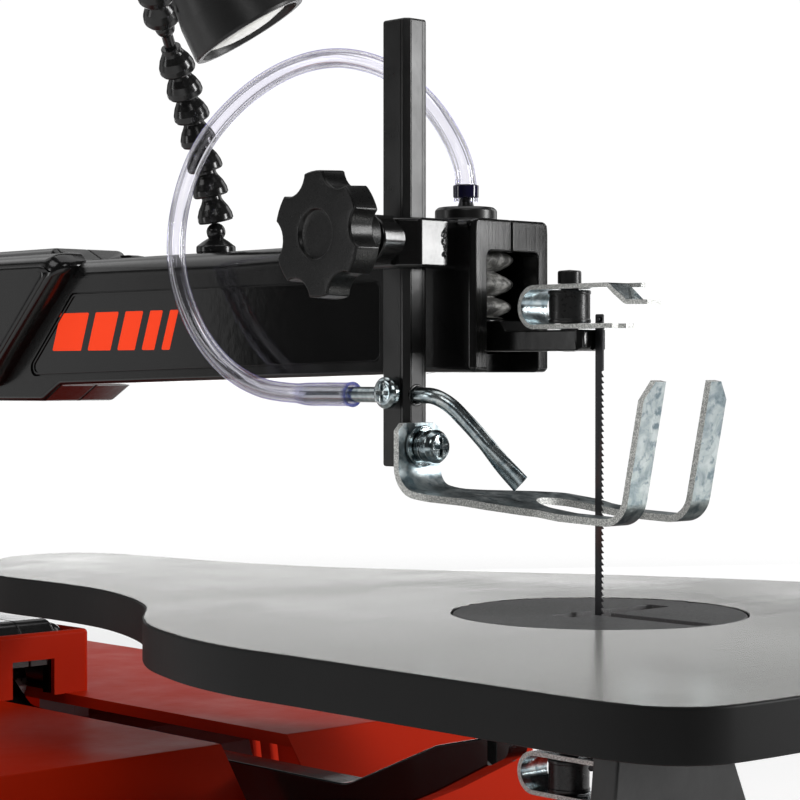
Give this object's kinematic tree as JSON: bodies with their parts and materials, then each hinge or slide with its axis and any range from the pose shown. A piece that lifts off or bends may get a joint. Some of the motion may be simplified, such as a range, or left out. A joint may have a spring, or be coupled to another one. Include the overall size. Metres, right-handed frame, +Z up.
{
  "type": "scroll saw",
  "caption": "Benchtop parallel-arm scroll saw with tilting table, drop foot, air blower, tension rod and gooseneck work lamp.",
  "frame": {"origin": "bottom centre of the machine, on the bench surface under the rubber feet", "axes": "+Z up, +Y to the rear along the arms, +X to the operator's right; the operator stands on the -Y side"},
  "size_m": [0.26, 0.6602, 0.3622],
  "materials": {
    "cast_black": "gloss black enamel on castings",
    "panel_gloss": "smooth glossy panel",
    "base_orange": "semi-gloss orange-red enamel",
    "table_metal": "ground and lacquered",
    "insert_plastic": "fine speckled dark grey",
    "zinc": "bright zinc plate, bluish",
    "steel": "machined",
    "blade_steel": "blued, nearly black",
    "arm_black": "black enamel",
    "black_part": "black oxide",
    "knob_plastic": "moulded, satin",
    "rubber": "dusty dark rubber",
    "foot_rubber": "matte",
    "vinyl": "clear vinyl, faint violet tint",
    "bronze": "sintered bronze",
    "motor_grey": "grey motor enamel",
    "switch_red": "moulded",
    "lens": "frosted",
    "dark_casting": "dark sand-cast finish"
  },
  "bodies": {
    "root": {"base_housing": "base_orange", "rubber_foot_front_left": "foot_rubber", "rubber_foot_front_right": "foot_rubber", "rubber_foot_rear_left": "foot_rubber", "rubber_foot_rear_right": "foot_rubber", "frame_half_left": "cast_black", "frame_half_right": "cast_black", "side_panel_left": "panel_gloss", "side_panel_right": "panel_gloss", "frame_screw_1": "zinc", "frame_screw_2": "zinc", "frame_screw_3": "zinc", "frame_screw_4": "zinc", "upper_pivot_pin": "steel", "lower_pivot_pin": "steel", "bellows_cap": "black_part", "bellows": "rubber", "air_hose": "vinyl", "motor_can": "motor_grey", "motor_end_bell": "motor_grey", "trunnion_bracket": "dark_casting", "control_panel": "knob_plastic", "dust_port": "knob_plastic", "cord_gland": "knob_plastic", "lamp_collar": "knob_plastic"},
    "upper_arm": {"upper_rocker_arm": "arm_black", "upper_pivot_bush": "bronze", "upper_blade_holder": "zinc", "upper_holder_spacer": "black_part", "upper_holder_pin": "black_part"},
    "lower_arm": {"lower_rocker_arm": "arm_black", "lower_pivot_bush": "bronze", "lower_blade_holder": "zinc", "lower_holder_spacer": "black_part", "lower_holder_pin": "black_part"},
    "blade": {"saw_blade": "blade_steel"},
    "rod": {"tension_rod": "steel"},
    "tension_knob": {"tension_knob": "knob_plastic"},
    "crank": {"crank": "steel"},
    "connecting_rod": {"connecting_rod": "steel"},
    "foot_post": {"foot_post": "cast_black", "blower_tube": "zinc", "tube_set_screw": "zinc", "foot_flat_washer": "zinc", "foot_spring_washer": "zinc", "foot_screw": "zinc"},
    "foot": {"hold_down_foot": "zinc"},
    "foot_knob": {"foot_lock_knob": "knob_plastic"},
    "table": {"table": "table_metal", "table_insert": "insert_plastic", "table_trunnion": "dark_casting"},
    "table_knob": {"table_lock_knob": "knob_plastic"},
    "switch": {"switch_rocker": "switch_red"},
    "dial": {"speed_dial": "knob_plastic"},
    "neck_lower": {"lamp_neck_lower": "knob_plastic"},
    "neck_upper": {"lamp_neck_upper": "knob_plastic"},
    "lamp": {"lamp_head": "knob_plastic", "lamp_lens": "lens"}
  },
  "joints": [
    {"name": "upper_arm_rock", "type": "hinge", "parent": "root", "child": "upper_arm", "pos_m": [0, 0.23394, 0.23], "axis": [-1, 0, 0], "range_deg": [0, 1.9], "deforming": ["bellows"]},
    {"name": "lower_arm_rock", "type": "hinge", "parent": "root", "child": "lower_arm", "pos_m": [0, 0.23394, 0.105], "axis": [-1, 0, 0], "range_deg": [0, 1.9]},
    {"name": "blade_pin_upper", "type": "hinge", "parent": "upper_arm", "child": "blade", "pos_m": [0, -0.19606, 0.2338], "axis": [-1, 0, 0], "range_deg": [-1.9, 0]},
    {"name": "rod_pin", "type": "hinge", "parent": "upper_arm", "child": "rod", "pos_m": [0, 0.26594, 0.23], "axis": [-1, 0, 0], "range_deg": [-1.9, 0]},
    {"name": "tension_knob_turn", "type": "hinge", "parent": "rod", "child": "tension_knob", "pos_m": [0, 0.26594, 0.272], "axis": [0, 0, 1], "continuous": true},
    {"name": "crank_spin", "type": "hinge", "parent": "root", "child": "crank", "pos_m": [0.015, 0.11594, 0.053], "axis": [1, 0, 0], "continuous": true},
    {"name": "connecting_rod_swing", "type": "hinge", "parent": "lower_arm", "child": "connecting_rod", "pos_m": [0.01, 0.11594, 0.1], "axis": [-1, 0, 0], "range_deg": [-1.9, 0]},
    {"name": "foot_slide", "type": "slide", "parent": "root", "child": "foot_post", "axis": [0, 0, 1], "range_m": [-0.02, 0.02], "deforming": ["air_hose"]},
    {"name": "foot_tilt", "type": "hinge", "parent": "foot_post", "child": "foot", "pos_m": [-0.0275, -0.15206, 0.198], "axis": [0, -1, 0], "range_deg": [0, 8]},
    {"name": "foot_knob_turn", "type": "hinge", "parent": "root", "child": "foot_knob", "pos_m": [-0.05, -0.14506, 0.2574], "axis": [-1, 0, 0], "continuous": true},
    {"name": "table_tilt", "type": "hinge", "parent": "root", "child": "table", "pos_m": [0, -0.26806, 0.152], "axis": [0, -1, 0], "range_deg": [0, 45]},
    {"name": "table_knob_turn", "type": "hinge", "parent": "root", "child": "table_knob", "pos_m": [0, -0.28106, 0.087], "axis": [0, -1, 0], "continuous": true},
    {"name": "switch_rock", "type": "hinge", "parent": "root", "child": "switch", "pos_m": [0.01, -0.30931, 0.0288], "axis": [-1, 0, 0], "range_deg": [0, 14]},
    {"name": "speed_dial_turn", "type": "hinge", "parent": "root", "child": "dial", "pos_m": [0.06, -0.31179, 0.02898], "axis": [0, -0.9977, 0.068], "range_deg": [0, 270]},
    {"name": "lamp_neck_swivel", "type": "hinge", "parent": "root", "child": "neck_lower", "pos_m": [0, -0.02406, 0.2658], "axis": [0, 0, 1], "range_deg": [-30, 5]},
    {"name": "lamp_neck_bend", "type": "hinge", "parent": "neck_lower", "child": "neck_upper", "pos_m": [-0.0296, -0.03516, 0.3298], "axis": [0, 0, 1], "range_deg": [-25, 6]},
    {"name": "lamp_head_tilt", "type": "hinge", "parent": "neck_upper", "child": "lamp", "pos_m": [-0.0904, -0.12536, 0.3416], "axis": [-0.6159, -0.7878, 0], "range_deg": [-25, 20]}
  ],
  "couplings": [
    {"joint": "lower_arm_rock", "follows": "upper_arm_rock", "ratio": 1},
    {"joint": "blade_pin_upper", "follows": "upper_arm_rock", "ratio": -1},
    {"joint": "rod_pin", "follows": "upper_arm_rock", "ratio": -1},
    {"joint": "connecting_rod_swing", "follows": "upper_arm_rock", "ratio": -1}
  ]
}
